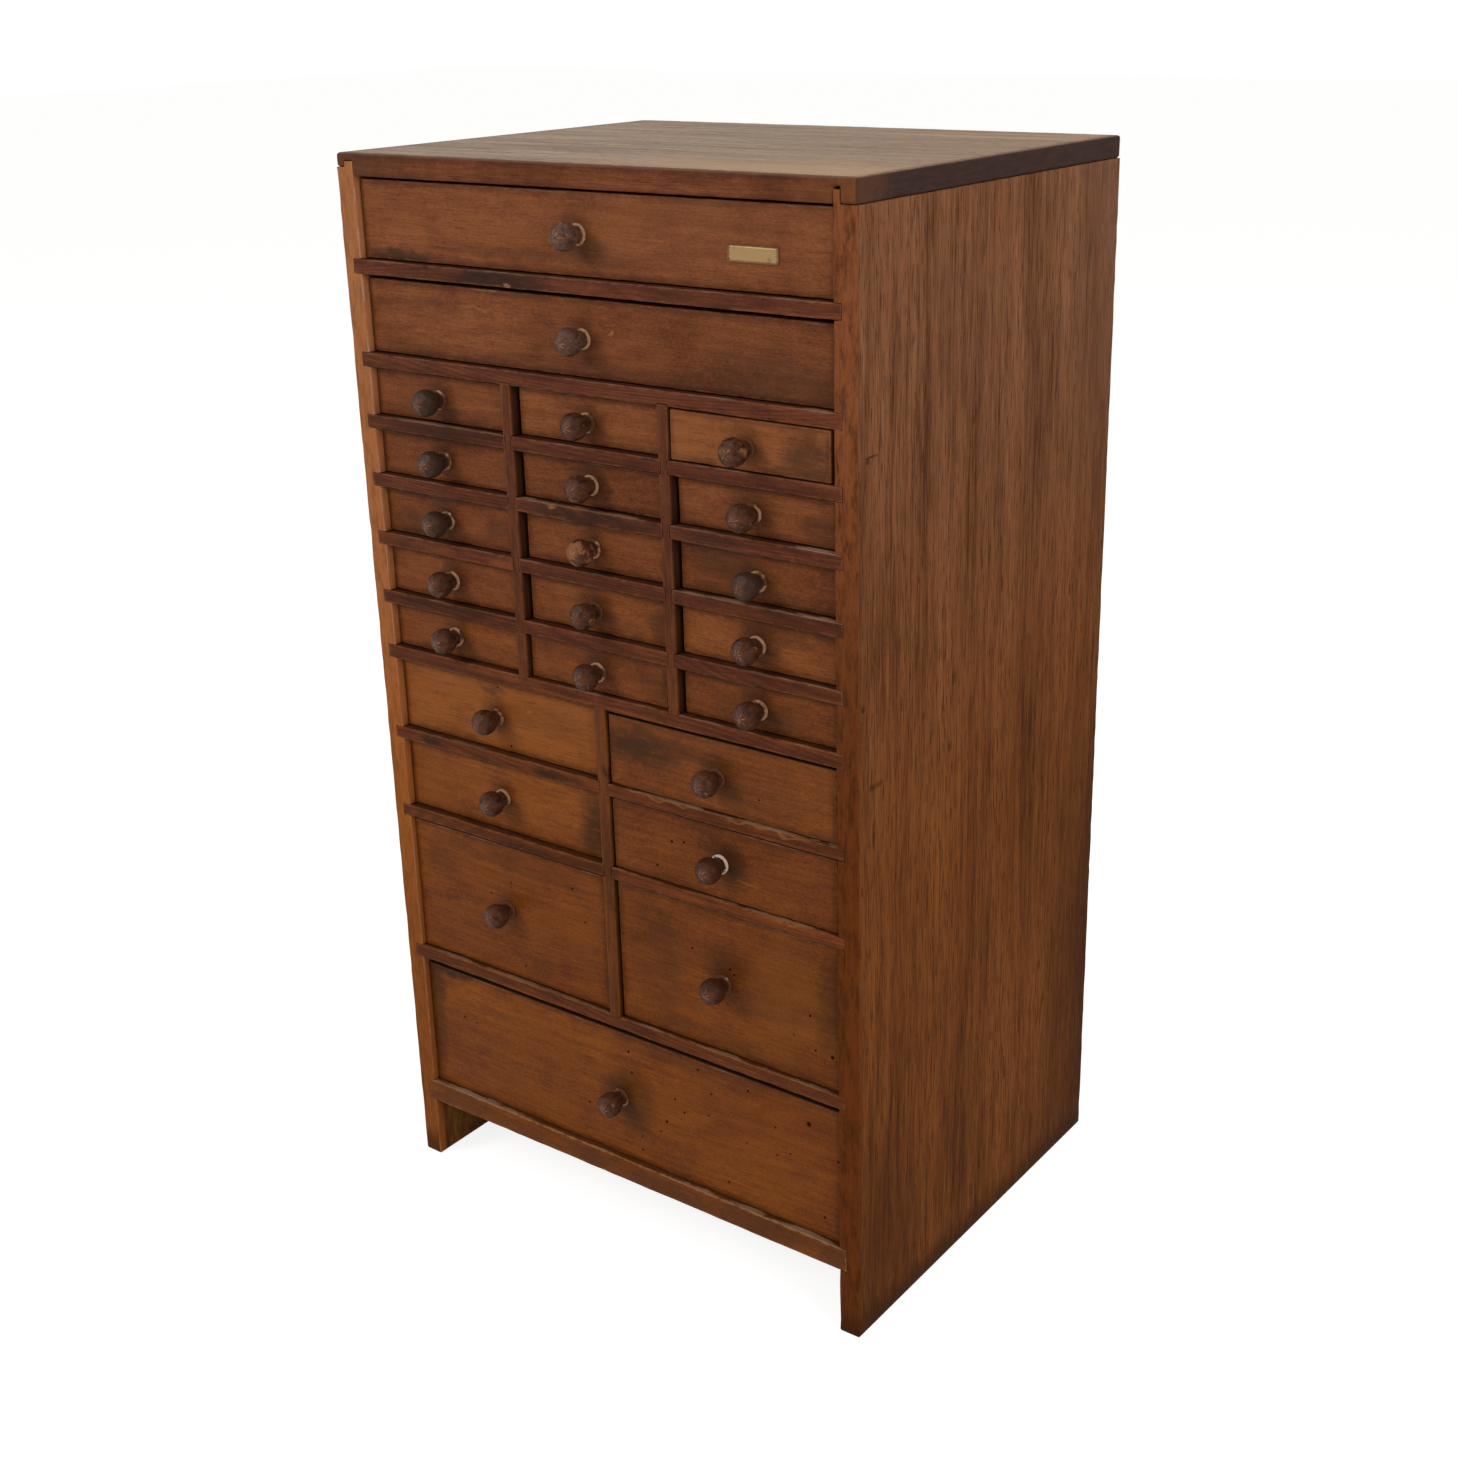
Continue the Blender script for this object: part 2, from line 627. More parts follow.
def ledgeDust(coat):
    fromTop = coat.markParts("fromHigh")[2]
    fromFront = coat.markParts("fromLow")[1]
    ledge = fromTop.near(0.7, 0.3, 0.9)
    lying = coat.drawn(0.35, 80.0, 5.0, 0.66)
    heaped = anySpot(coat, coat.parts(coat.place), dustSpots) * lying.mask(0.34, 0.56)
    reach = 1.3 * mm + heaped * 4 * mm + lying.sway(4)
    ahead = (fromFront - reach).near(0.4, -0.4)
    coat.lay(ledge * (1 - ahead) * 0.6, grime)
    dust = ledge * ahead * coat.maths("MAXIMUM", heaped, lying.mask(0.47, 0.66, 0.6))
    coat.lay(dust, dustColour)


def frontFaces(coat):
    # Low down grime covers the upper faces of the fronts, seen only through the gaps; all have
    # a pale chipped lip.
    fromTop = coat.markParts("fromHigh")[2]
    under = coat.parts(coat.place)[2].mask(0.61, 0.59, 0.88)
    coat.lay(fromTop.near(0.8, 0.4) * under, grime)
    chips = coat.drawn(0.15, 130.0, 5.0, 0.65)
    lip = fromTop.near(1.6, 1.1) * fromTop.near(0.5, 0.9)
    coat.lay(lip * chips.mask(0.52, 0.62, 0.55), dustColour)


def dividerFaces(coat):
    # Grime again, on the faces beside the fronts.
    fromFront = coat.markParts("fromLow")[1]
    wander = coat.noise(coat.own, 70.0, 3.0)
    sooty = fromFront.near(1.2, 2.6, 0.72) * (fromFront + wander * 30 * mm).near(60, 25)
    coat.lay(sooty, grime)


# What the woods share. Of each pattern, Scale is how fine it is, Long draws it out along the
# grain the more the smaller it is, and Share is its part in the tone.
plainWood = {
    "grain": "x", "waver": 4,
    "driftScale": 20.0, "driftLong": 0.3, "driftShare": 0.8,
    "streakScale": 170.0, "streakLong": 0.05, "streakShare": 0.8,
    "blotchScale": 38.0, "blotchLong": 0.7, "blotchShare": 0.8,
    "dashScale": 620.0, "dashLong": 0.06, "dashShare": 0.6,
    "fleckScale": 1000.0, "fleckLong": 0.45, "fleckShare": 0.4,
    "rings": 11.0, "ringCount": 95.0, "ringShare": 0.02,
    "fibreShare": 0.35, "poreShare": 0.4,
    "dirtShare": 0.5, "rimShare": 0, "knobShare": 0, "wearShare": 0.3,
    "stains": (), "bleached": (),
    "faces": None, "richer": None, "over": None,
    "roughness": 0.55, "shine": 0.08, "relief": 0.8,
}
woods = {
    "side": {
        "grain": "z", "waver": 7,
        "dark": (0.060, 0.020, 0.0075), "middle": (0.175, 0.069, 0.0305), "light": (0.255, 0.109, 0.053),
        "pore": (0.035, 0.012, 0.006), "dirt": (0.062, 0.022, 0.010), "bare": (0.230, 0.088, 0.034),
        "driftScale": 24.0, "driftLong": 0.15, "driftShare": 0.9, "streakScale": 190.0,
        "blotchLong": 0.09, "blotchShare": 0.6,
        "dashScale": 900.0, "dashLong": 0.035, "dashShare": 1.05,
        "fleckShare": 0.25, "ringShare": 0.0,
        "fibreShare": 0.5, "poreShare": 0.75,
        "dirtShare": 0.3, "rimShare": 0.25, "wearShare": 0.35,
        "faces": sideFaces, "richer": (0.80, 0.62, 0.30), "richerFrom": (0.70, 0.30),
        "roughness": 0.7, "shine": 0.03, "relief": 0.9,
    },
    "top": {
        "dark": (0.060, 0.020, 0.009), "middle": (0.133, 0.0405, 0.0155), "light": (0.245, 0.078, 0.030),
        "pore": (0.035, 0.014, 0.008), "dirt": (0.045, 0.018, 0.011), "bare": (0.190, 0.085, 0.045),
        "driftShare": 0.9, "streakShare": 0.4, "dashShare": 0.5, "blotchShare": 1.25,
        "fibreShare": 0.4, "rimShare": 0.2, "wearShare": 0.2,
        "faces": topFaces,
        "roughness": 0.6, "shine": 0.04, "relief": 1.0,
    },
    "front": {
        "dark": (0.086, 0.0225, 0.0065), "middle": (0.168, 0.0495, 0.0160), "light": (0.255, 0.084, 0.026),
        "pore": (0.058, 0.017, 0.006), "dirt": (0.036, 0.0125, 0.005), "bare": (0.290, 0.115, 0.045),
        "driftShare": 0.7, "streakShare": 0.32, "dashShare": 0.34, "blotchShare": 1.05, "fleckShare": 0.75,
        "rings": 13.0, "ringCount": 170.0, "ringShare": 0.05,
        "fibreShare": 0.3, "poreShare": 0.35,
        "dirtShare": 0.3, "rimShare": 0.4, "knobShare": 0.5,
        "stain": (0.046, 0.0185, 0.009), "stains": frontStains, "bleached": frontBleached,
        "richer": (0.90, 0.77, 0.25), "richerFrom": (0.68, 0.18), "over": frontFaces,
        "relief": 0.6,
    },
    "plinth": {
        "dark": (0.076, 0.021, 0.006), "middle": (0.150, 0.0445, 0.0110), "light": (0.235, 0.078, 0.026),
        "pore": (0.050, 0.017, 0.008), "dirt": (0.040, 0.015, 0.006), "bare": (0.330, 0.185, 0.085),
        "driftShare": 0.7, "streakShare": 0.5, "dashShare": 0.5, "blotchShare": 1.0, "fleckShare": 0.5,
        "dirtShare": 0.7, "wearShare": 0.5,
        "stain": (0.062, 0.025, 0.011), "stains": plinthStains,
        "richer": (1.0, 0.95, 0.8), "richerFrom": (0.6, 0.2), "over": ledgeDust,
        "roughness": 0.58, "shine": 0.05,
    },
    "shelf": {
        "dark": (0.042, 0.012, 0.006), "middle": (0.094, 0.0255, 0.0112), "light": (0.175, 0.049, 0.020),
        "pore": (0.024, 0.009, 0.005), "dirt": (0.022, 0.009, 0.005), "bare": (0.230, 0.095, 0.045),
        "streakShare": 0.9, "blotchShare": 0.9,
        "rings": 12.0, "ringCount": 430.0, "ringShare": 0.09,
        "fibreShare": 0.4, "poreShare": 0.3, "dirtShare": 0.6,
        "stain": (0.026, 0.0115, 0.007), "stains": shelfStains, "bleached": shelfBleached,
        "richer": (0.98, 0.90, 0.46), "richerFrom": (0.62, 0.25), "over": ledgeDust,
        "shine": 0.06,
    },
    "divider": {
        "grain": "z",
        "dark": (0.042, 0.012, 0.006), "middle": (0.098, 0.028, 0.012), "light": (0.160, 0.048, 0.019),
        "pore": (0.022, 0.008, 0.005), "dirt": (0.022, 0.010, 0.007), "bare": (0.200, 0.080, 0.036),
        "streakShare": 0.6,
        "ringCount": 400.0, "ringShare": 0.06,
        "poreShare": 0.3, "dirtShare": 0.6, "wearShare": 0.25,
        "stain": (0.026, 0.0115, 0.007), "stains": shelfStains,
        "faces": dividerFaces, "richer": (0.98, 0.92, 0.46), "richerFrom": (0.62, 0.25),
        "shine": 0.06,
    },
    "tray": {
        "grain": "y",
        "dark": (0.165, 0.072, 0.028), "middle": (0.330, 0.166, 0.068), "light": (0.455, 0.262, 0.122),
        "pore": (0.110, 0.060, 0.030), "dirt": (0.100, 0.046, 0.020), "bare": (0.460, 0.290, 0.150),
        "driftShare": 0.7, "blotchShare": 0.4, "fleckShare": 0.3, "ringShare": 0.07,
        "dirtShare": 0.4, "rimShare": 0.3,
        "roughness": 0.72, "relief": 1.0,
    },
    "back": {
        "grain": "z",
        "dark": (0.110, 0.046, 0.018), "middle": (0.232, 0.108, 0.041), "light": (0.340, 0.182, 0.080),
        "pore": (0.080, 0.036, 0.016), "dirt": (0.066, 0.030, 0.014), "bare": (0.400, 0.235, 0.115),
        "streakLong": 0.03, "streakShare": 1.0,
        "dashLong": 0.035, "dashShare": 0.8,
        "blotchLong": 0.15, "blotchShare": 0.5, "fleckShare": 0.3,
        "rings": 5.0, "ringCount": 170.0, "ringShare": 0.09,
        "poreShare": 0.3, "rimShare": 0.35,
        "roughness": 0.75, "relief": 1.2,
    },
}
paints = {name: woodPaint(name + "_wood", changes) for name, changes in woods.items()}
print("woods painted")


# Knobs: how far each ring of the turning stands out from the front, and its radius.
knobTurning = {
    "rings": [
        (-10, 4.0), (2.0, 4.0), (2.0, 5.0), (3.4, 5.1), (5.0, 5.6), (6.4, 6.3), (7.6, 7.2),
        (9.0, 8.05), (10.6, 8.6), (12.6, 8.85), (14.6, 8.65), (16.2, 8.15), (17.6, 7.4),
        (18.7, 6.5), (19.4, 5.4), (20.1, 3.9), (20.7, 2.2), (21.05, 0.9),
    ],
    "sides": 40,
    "flats": 6,
    "flatCentre": 12.6,
    "flatTilt": 31,
    "flatDistance": 7.72,
    "smooth": 30,
}
# Their polish is dark and patchy: deep and olive on some, dusty on the upper ones, worn off in
# places, and rubbed pale on the ridges between the flats.
knobLook = {
    "dark": (0.025, 0.0095, 0.0050),
    "middle": (0.080, 0.0270, 0.0118),
    "deep": (0.042, 0.0125, 0.0045),
    "olive": (0.036, 0.020, 0.0125),
    "nose": (0.125, 0.045, 0.021),
    "dust": (0.170, 0.105, 0.085),
    "worn": (0.215, 0.085, 0.034),
    "ridge": (0.400, 0.300, 0.250),
    "roughness": 0.42,
    "shine": 0.08,
}


def knobPaint():
    coat = newCoat("knob_polish", "y")
    grain = coat.drawn(0.25, 330.0, 4.0, 0.65)
    coat.colour = coat.mix(grain.mask(0.3, 0.7), knobLook["dark"], knobLook["middle"])
    tone = coat.mark("toneMark", "Fac")
    coat.lay(tone.mask(-0.05, -0.07, 0.8), knobLook["deep"])
    coat.lay(tone.mask(-0.085, -0.115, 0.75), knobLook["olive"])
    patches = coat.noise(coat.own, 130.0, 4.0, 0.62)
    fromNose = coat.markParts("fromLow")[1]
    coat.lay((fromNose + patches.sway(6)).near(3.2, 0.1, 0.6), knobLook["nose"])
    blotches = coat.noise(coat.own, 330.0, 4.0, 0.66)
    upper = coat.parts(coat.place)[2].mask(0.6, 0.65)
    coat.lay(upper * blotches.mask(0.3, 0.6, 0.32), knobLook["dust"])
    worn = (patches + tone + (blotches - 0.5) * 0.3).mask(0.58, 0.70, 0.9)
    coat.lay(worn, knobLook["worn"])
    x, y, z = coat.markParts("fromKnob")
    around = coat.maths("ARCTAN2", z, x) + coat.mark("turned", "Fac")
    between = coat.maths("COSINE", around * knobTurning["flats"])
    radius = coat.maths("SQRT", x * x + z * z)
    ridge = between.mask(-0.8, -1.0) * radius.near(4.6, 1.2)
    ridge = ridge * fromNose.near(4, 3) * blotches.mask(0.42, 0.56, 0.85)
    coat.lay(ridge, knobLook["ridge"])
    scuffs = coat.noise(coat.own, 420.0, 3.0, 0.6)
    roughness = knobLook["roughness"] + (scuffs - 0.5) * 0.35 + worn * 0.15
    return coat.finish(roughness, patches * 2.0 + scuffs, 0.3 * mm, knobLook["shine"])


# Collars: pale rings, dirty in their pores.
collarLook = {"pale": (0.370, 0.205, 0.115), "palest": (0.560, 0.430, 0.335), "dirt": (0.090, 0.034, 0.015)}


def collarPaint():
    coat = newCoat("collar_pale")
    tone = coat.mark("toneMark", "Fac")
    dirt = coat.noise(coat.own, 90.0, 4.0, 0.6)
    x, y, z = coat.markParts("fromKnob")
    radius = coat.maths("SQRT", x * x + z * z)
    chips = coat.noise(coat.own, 420.0, 4.0, 0.65)
    rim = (radius + chips.sway(3)).near(5.1, 5.8)
    shown = (dirt + (chips - 0.5) * 0.2 + tone).mask(0.42, 0.54) * rim
    pale = coat.mix(tone.mask(0.25, 0.4), collarLook["pale"], collarLook["palest"])
    coat.colour = coat.mix(shown, collarLook["dirt"], pale)
    pores = coat.noise(coat.own, 500.0, 3.0).mask(0.5, 0.7, 0.45)
    coat.lay(pores, collarLook["dirt"])
    return coat.finish(0.7 + (dirt - 0.5) * 0.2, dirt, 0.15 * mm, 0.1)


# The bare plate: thin brass, brushed along its length, tarnished towards its rim.
plateLook = {
    "brass": (0.330, 0.205, 0.088),
    "tarnish": (0.130, 0.072, 0.030),
    "bright": (0.43, 0.29, 0.14),
    "corner": 1.2, "rim": 0.7, "sink": 0.12, "slope": 0.15, "soften": 0.08,
    "pinRadius": 0.5, "pinInset": 1.9, "pinDepth": 0.1,
}


def platePaint():
    coat = newCoat("plate_brass", "x", False)
    brushed = coat.drawn(0.02, 2200.0, 3.0)
    tarnish = coat.noise(coat.place, 210.0, 4.0, 0.6)
    rim = (nearestArris(coat) - tarnish * 1.0 * mm).near(0.5, -0.5, 0.7)
    spots = coat.maths("MAXIMUM", rim, tarnish.mask(0.58, 0.74, 0.6))
    coat.colour = coat.mix(spots, plateLook["brass"], plateLook["tarnish"])
    coat.lay(brushed.mask(0.45, 0.7, 0.25), plateLook["bright"])
    roughness = 0.42 + spots * 0.25 + (brushed - 0.5) * 0.15
    return coat.finish(roughness, brushed, 0.06 * mm, 0.1, 0.3)


rustLook = {"dark": (0.060, 0.040, 0.032), "red": (0.170, 0.062, 0.025), "metal": 0.35}


def rustPaint():
    coat = newCoat("nail_rust", ownGrain=False)
    rust = coat.noise(coat.place, 700.0, 4.0, 0.65)
    coat.colour = coat.mix(rust.mask(0.35, 0.65), rustLook["dark"], rustLook["red"])
    return coat.finish(0.6 + rust * 0.3, rust, 0.2 * mm, metal=rustLook["metal"])


paints.update(knob=knobPaint(), collar=collarPaint(), plate=platePaint(), rust=rustPaint())
print("polish, collars and metal painted")


# Case. The boards keep the CAD's own shape: each is a copy of its node, parted into boards,
# with its edges softened and rubbed.
def partedCopy(node):
    copy = copyOf(frame["nodes"][node], node + "_part")
    copy.parent = None
    for key in list(copy.keys()):
        del copy[key]
    pick(copy)
    editing(True)
    bpy.ops.mesh.select_all(action="SELECT")
    bpy.ops.mesh.remove_doubles(threshold=0.01 * mm)
    bpy.ops.mesh.dissolve_limited(angle_limit=math.radians(0.5))
    bpy.ops.mesh.separate(type="LOOSE")
    editing(False)
    return list(bpy.context.selected_objects)


plainBoard = {"soften": 0.5, "rub": 0.5, "tones": (0.0,)}
caseBoards = {
    "side_left": {"wood": "side", "soften": 0.7, "rub": 0.55},
    "side_right": {"wood": "side", "soften": 0.7, "rub": 0.55, "tones": (0.02,)},
    "top_board": {"wood": "top", "soften": 1.7, "rub": 0.9},
    "bottom_board": {"wood": "plinth", "soften": 0.6},
    "long_shelves": {"wood": "shelf", "tones": (-0.05, 0.0, 0.1, 0.02)},
    "small_shelves": {"wood": "shelf", "tones": (-0.1, 0.04, -0.02)},
    "middle_shelves": {"wood": "shelf", "tones": (0.06, 0.0)},
    "small_dividers": {"wood": "divider", "rub": 0.4, "tones": (0.05,)},
    "middle_divider": {"wood": "divider", "rub": 0.4, "tones": (0.08,)},
    "back_boards": {"wood": "back", "rub": 0.6, "tones": (0.0, 0.06, -0.05)},
}
feet = {"round": 2.6, "segments": 4}


def roundFeet(side):
    # The arrises that the feet stand on are worn round.
    low, high = corners(side)
    places = [vertex.co for vertex in side.data.vertices]
    selectParts(side.data.vertices, lambda vertex: False)
    selectParts(side.data.polygons, lambda face: False)
    selectParts(side.data.edges, lambda edge: all(places[index].z < low.z + mm for index in edge.vertices))
    editing(True)
    bpy.ops.mesh.select_mode(type="EDGE")
    bpy.ops.mesh.bevel(offset=feet["round"] * mm, segments=feet["segments"])
    bpy.ops.mesh.select_mode(type="VERT")
    editing(False)


def makeCaseNode(node, look):
    boards = partedCopy(node)
    boards.sort(key=lambda each: [round(value, 4) for value in corners(each)[0]])
    for index, each in enumerate(boards):
        box = corners(each)
        if "side" in node:
            roundFeet(each)
        softenEdges(each, look["soften"] * mm)
        rubArrises(each, look["rub"] * mm)
        tone = look["tones"][index % len(look["tones"])] + random.uniform(-0.04, 0.04)
        markBoard(each, tone, box=box)
    settle(join(node + "_worn", boards), "case", paints[look["wood"]], [node])


for node, changes in caseBoards.items():
    makeCaseNode(node, {**plainBoard, **changes})
nails = frame["nodes"]["back_nails"]
nails.data.materials.clear()
nails.data.materials.append(paints["rust"])
print("case boards worn")


# Drawers: the sizes of their boards are the CAD's, in millimetres.
drawerBoards = {
    "small": {"front": 11, "side": 6, "panel": 3.5, "lap": 7, "tails": 2},
    "large": {"front": 14, "side": 8, "panel": 4.5, "lap": 9, "tails": 3},
    "tall": {"front": 14, "side": 8, "panel": 4.5, "lap": 9, "tails": 5},
    "lift": 0.5,
    "sideDrop": 1,
    "backDrop": 2,
    "panelLift": 3,
    "tailShare": 0.6,
    "tailSlope": 0.16,
    "tailGap": 0.12,
    "soften": {"front": 0.7, "side": 0.4, "panel": 0.3},
    "rub": 0.5,
    "holeWidth": 1.9,
    "holeDepth": 4,
    "holeInset": 2,
}
# Wormholes in the fronts, in millimetres from the case's left face and from the floor; the
# last number of a longer entry is a wider hole's size against the rest.
wormholes = [
    (106, 402), (115, 361), (87, 243), (165, 267), (175, 244), (107, 256), (116, 193),
    (327, 372), (256, 326), (266, 328), (243, 306), (269, 252), (210, 246), (300, 245),
    (303, 242), (363, 231), (350, 213), (367, 207), (380, 206, 1.6), (169, 99), (217, 77),
    (217, 88), (234, 98), (240, 108), (208, 153), (210, 137), (269, 159), (311, 157),
    (333, 137), (360, 149, 2.0), (280, 144), (277, 126), (248, 129), (256, 121), (309, 116),
    (334, 116), (345, 121), (293, 79), (372, 82), (383, 129), (49, 130), (61, 129),
]
# How light each drawer's front, knob and collar are; None leaves it to chance.
drawerTones = {
    "top_upper": (0.07, 0.02, 0.12), "top_lower": (-0.04, -0.05, 0.08),
    "small_1_left": (-0.06, -0.12, None), "small_1_centre": (0.09, -0.03, None),
    "small_1_right": (0.28, 0.03, -0.35), "small_2_left": (-0.04, -0.12, -0.06),
    "small_2_centre": (-0.08, None, None), "small_2_right": (0.0, None, -0.1),
    "small_3_left": (-0.12, -0.15, None), "small_3_centre": (-0.09, 0.14, None),
    "small_3_right": (-0.14, -0.12, None), "small_4_left": (0.0, None, None),
    "small_4_centre": (0.02, None, -0.25), "small_4_right": (0.08, None, None),
    "small_5_left": (0.03, None, None), "small_5_centre": (-0.02, None, None),
    "small_5_right": (-0.1, -0.04, None), "middle_1_left": (0.4, None, None),
    "middle_1_right": (0.05, 0.02, -0.2), "middle_2_left": (0.14, None, None),
    "middle_2_right": (-0.09, -0.08, 0.4), "tall_left": (-0.02, -0.03, -0.15),
    "tall_right": (-0.08, -0.07, -0.2), "bottom": (0.05, -0.055, -0.05),
}


def tonesOf(name):
    return drawerTones[name.removeprefix("drawer_")]


def boardsOf(name):
    if "small" in name:
        return drawerBoards["small"]
    if "tall" in name or "bottom" in name:
        return drawerBoards["tall"]
    return drawerBoards["large"]


def addTail(name, x, y, z, taper):
    # A wedge that is widest at its front end.
    tail = addBlock(name, (x[0], y[0], z[0]), (x[1], y[1], z[1]))
    places = [vertex.co for vertex in tail.data.vertices]
    selectParts(tail.data.polygons, lambda face: face.normal.y > 0.5)
    selectParts(tail.data.edges, lambda edge: all(places[index].y > y[1] - hair for index in edge.vertices))
    selectParts(tail.data.vertices, lambda vertex: vertex.co.y > y[1] - hair)
    editing(True)
    bpy.ops.transform.resize(value=(1, 1, 1 - 2 * taper / (z[1] - z[0])))
    editing(False)
    return tail


def makeDrawerWood(name):
    low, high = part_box(name + "_box")
    sizes = boardsOf(name)
    soften = drawerBoards["soften"]
    sideThick = sizes["side"] * mm
    lap = sizes["lap"] * mm
    inner = low.y + sizes["front"] * mm
    knobLow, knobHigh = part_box(name + "_knob")
    knobCentre = (knobLow + knobHigh) / 2
    knobCentre.y = low.y
    frontBox = (
        Vector((low.x, low.y, low.z + drawerBoards["lift"] * mm)),
        Vector((high.x, inner, high.z)),
    )
    sideTop = high.z - drawerBoards["sideDrop"] * mm
    front = addBlock(name + "_front", *frontBox)
    softenEdges(front, soften["front"] * mm, 3)
    rubArrises(front, drawerBoards["rub"] * mm)

    # Sides with tails let into the front.
    pitch = (sideTop - low.z) / sizes["tails"]
    half = pitch * drawerBoards["tailShare"] / 2
    taper = lap * drawerBoards["tailSlope"]
    gap = drawerBoards["tailGap"] * mm
    trayBoards = []
    sockets = []
    insideLeft = low.x + sideThick
    insideRight = high.x - sideThick
    for left, right, ahead in ((low.x, insideLeft, (mm, 0)), (insideRight, high.x, (0, mm))):
        plank = addBlock(name + "_side", (left, inner, low.z), (right, high.y, sideTop))
        softenEdges(plank, soften["side"] * mm)
        tails = []
        for index in range(sizes["tails"]):
            centre = low.z + pitch * (index + 0.5)
            tailY = (inner - lap, inner + 0.5 * mm)
            tailZ = (centre - half, centre + half)
            tails.append(addTail(name + "_tail", (left, right), tailY, tailZ, taper))
            socketX = (left - gap - ahead[0], right + gap + ahead[1])
            socketY = (inner - lap - gap, inner + gap + mm)
            socketZ = (centre - half - gap, centre + half + gap)
            sockets.append(addTail(name + "_socket", socketX, socketY, socketZ, taper))
        side = join(name + "_side", [plank, *tails])
        markBoard(side, random.uniform(-0.12, 0.1))
        trayBoards.append(side)
    cutOut(front, join(name + "_sockets", sockets))
    drillWormholes(front, *frontBox)
    markBoard(front, tonesOf(name)[0], knobCentre, frontBox)
    settle(front, name, paints["front"], [name + "_box"])

    # Back and bottom panel.
    panelBottom = low.z + drawerBoards["panelLift"] * mm
    panelTop = low.z + (drawerBoards["panelLift"] + sizes["panel"]) * mm
    backTop = sideTop - drawerBoards["backDrop"] * mm
    backLow = (insideLeft, high.y - sideThick, panelTop)
    back = addBlock(name + "_back", backLow, (insideRight, high.y, backTop))
    softenEdges(back, soften["side"] * mm)
    markBoard(back, random.uniform(-0.1, 0.1))
    panelLow = (insideLeft - mm, inner - mm, panelBottom)
    panel = addBlock(name + "_panel", panelLow, (insideRight + mm, high.y - 2 * hair, panelTop))
    softenEdges(panel, soften["panel"] * mm)
    markBoard(panel, random.uniform(-0.05, 0.12))
    settle(join(name + "_tray", [*trayBoards, back, panel]), name, paints["tray"])


def drillWormholes(front, low, high):
    edge = drawerBoards["holeInset"] * mm
    bits = []
    for x, z, *wider in wormholes:
        centre = Vector((caseLeft + x * mm, low.y, z * mm))
        if not (low.x + edge < centre.x < high.x - edge and low.z + edge < centre.z < high.z - edge):
            continue
        size = wider[0] if wider else random.uniform(0.75, 1.15)
        tilt = (math.radians(90 + random.uniform(-12, 12)), 0, math.radians(random.uniform(-12, 12)))
        pick()
        bpy.ops.mesh.primitive_cylinder_add(
            vertices=10,
            radius=drawerBoards["holeWidth"] / 2 * mm * size,
            depth=2 * drawerBoards["holeDepth"] * mm,
            location=centre,
            rotation=tilt,
        )
        bits.append(bpy.context.object)
    if bits:
        join(front.name + "_drill", bits)
        cutOut(front, placed())


for name in drawerNames:
    makeDrawerWood(name)
print("drawers built")


def makeKnobPattern():
    rings = knobTurning["rings"]
    along, radius = rings[0]
    pick()
    bpy.ops.mesh.primitive_circle_add(
        vertices=knobTurning["sides"],
        radius=radius * mm,
        fill_type="NGON",
        location=(0, -along * mm, 0),
        rotation=(math.radians(90), 0, 0),
    )
    knob = placed("knob_pattern")
    editing(True)
    bpy.ops.mesh.select_all(action="SELECT")
    for nextAlong, nextRadius in rings[1:]:
        move = (0, (along - nextAlong) * mm, 0)
        bpy.ops.mesh.extrude_region_move(TRANSFORM_OT_translate={"value": move})
        share = nextRadius / radius
        bpy.ops.transform.resize(value=(share, 1, share))
        along, radius = nextAlong, nextRadius
    bpy.ops.mesh.select_all(action="SELECT")
    bpy.ops.mesh.normals_make_consistent(inside=False)
    editing(False)
    cutFlats(knob)
    return knob


def cutFlats(knob):
    # The nose was finished by hand: shallow flats lie round it.
    centre = Vector((0, -knobTurning["flatCentre"] * mm, 0))
    count = knobTurning["flats"]
    for index in range(count):
        around = 2 * math.pi * (index + random.uniform(-0.06, 0.06)) / count
        tilt = math.radians(knobTurning["flatTilt"] + random.uniform(-2, 2))
        sideways = math.sin(tilt)
        outward = Vector((sideways * math.cos(around), -math.cos(tilt), sideways * math.sin(around)))
        face = centre + outward * ((knobTurning["flatDistance"] + random.uniform(-0.08, 0.08)) * mm)
        editing(True)
        bpy.ops.mesh.select_all(action="SELECT")
        bpy.ops.mesh.bisect(plane_co=face, plane_no=outward, use_fill=True, clear_outer=True)
        bpy.ops.mesh.mark_sharp()
        editing(False)


collarTurning = {"outer": 6.7, "inner": 4.05, "thick": 2.0, "soften": 0.6, "sides": 40}


def makeCollarPattern():
    thick = collarTurning["thick"] * mm
    turned = {
        "rotation": (math.radians(90), 0, 0),
        "location": (0, -thick / 2, 0),
        "vertices": collarTurning["sides"],
    }
    pick()
    bpy.ops.mesh.primitive_cylinder_add(radius=collarTurning["outer"] * mm, depth=thick, **turned)
    collar = placed("collar_pattern")
    pick()
    bpy.ops.mesh.primitive_cylinder_add(radius=collarTurning["inner"] * mm, depth=2 * thick, **turned)
    bore = placed()
    softenEdges(collar, collarTurning["soften"] * mm, 3)
    cutOut(collar, bore)
    return collar


def turnedCopy(pattern, name, place, turn):
    piece = copyOf(pattern, name)
    pick(piece)
    piece.rotation_euler = (0, turn, 0)
    piece.location = place
    return placed()


